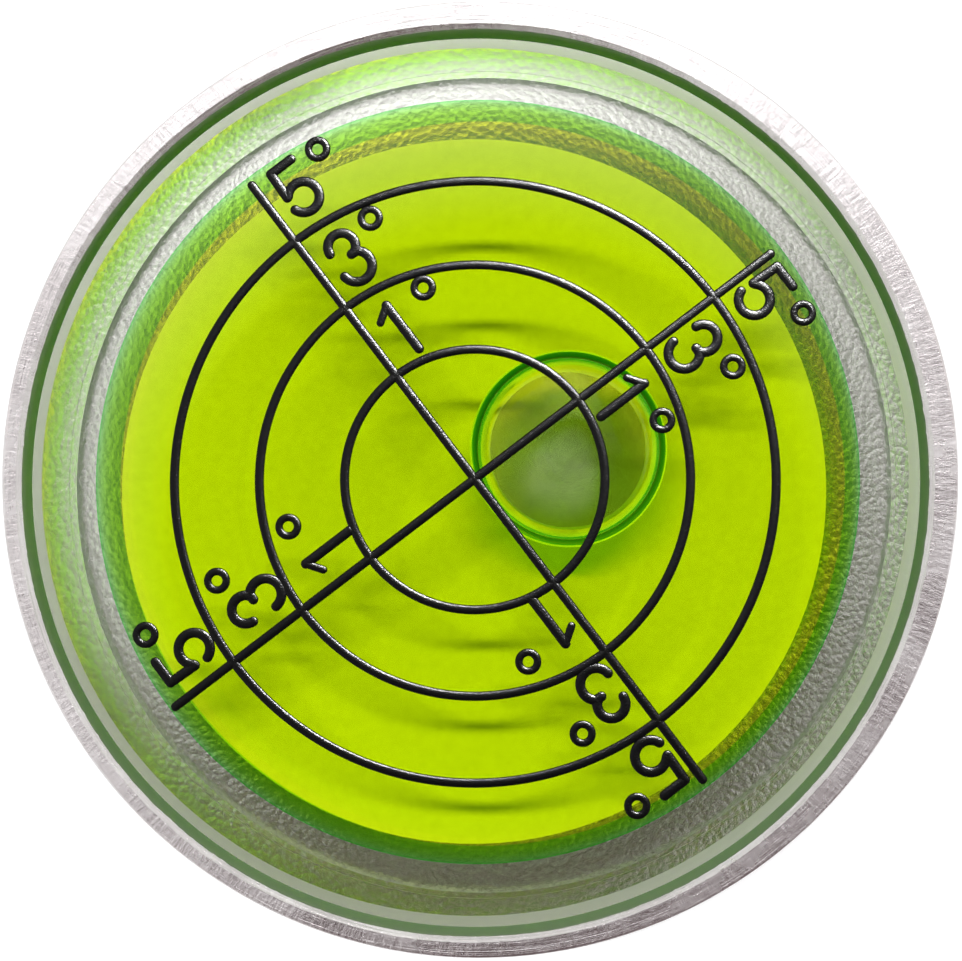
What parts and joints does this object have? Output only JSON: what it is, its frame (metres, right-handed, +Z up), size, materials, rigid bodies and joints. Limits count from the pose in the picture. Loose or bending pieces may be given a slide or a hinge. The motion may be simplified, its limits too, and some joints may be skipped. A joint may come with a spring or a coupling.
{
  "type": "bullseye level",
  "caption": "Round bullseye level: green liquid vial with a domed clear lens, printed degree rings and cross, set in a shallow aluminium cup.",
  "frame": {"origin": "centre of the cup's underside", "axes": "+Z up, out of the dial; the dial's cross lies along X and Y"},
  "size_m": [0.032, 0.032, 0.0092],
  "materials": {
    "cup_metal": "bead-blasted, with a turned and burred rim",
    "white_disc": "white double-sided adhesive film",
    "clear_plate": "clear acrylic sheet, bonded",
    "clear_acrylic": "clear moulded acrylic, glossy",
    "green_liquid": "clear dyed liquid that glows green at its edge",
    "air": "air",
    "black_ink": "raised glossy black ink"
  },
  "bodies": {
    "root": {"housing": "cup_metal", "adhesive_disc": "white_disc", "vial_base": "clear_plate", "vial_body": "clear_acrylic", "liquid": "green_liquid", "air_bubble": "air", "dial_print": "black_ink"}
  },
  "joints": []
}
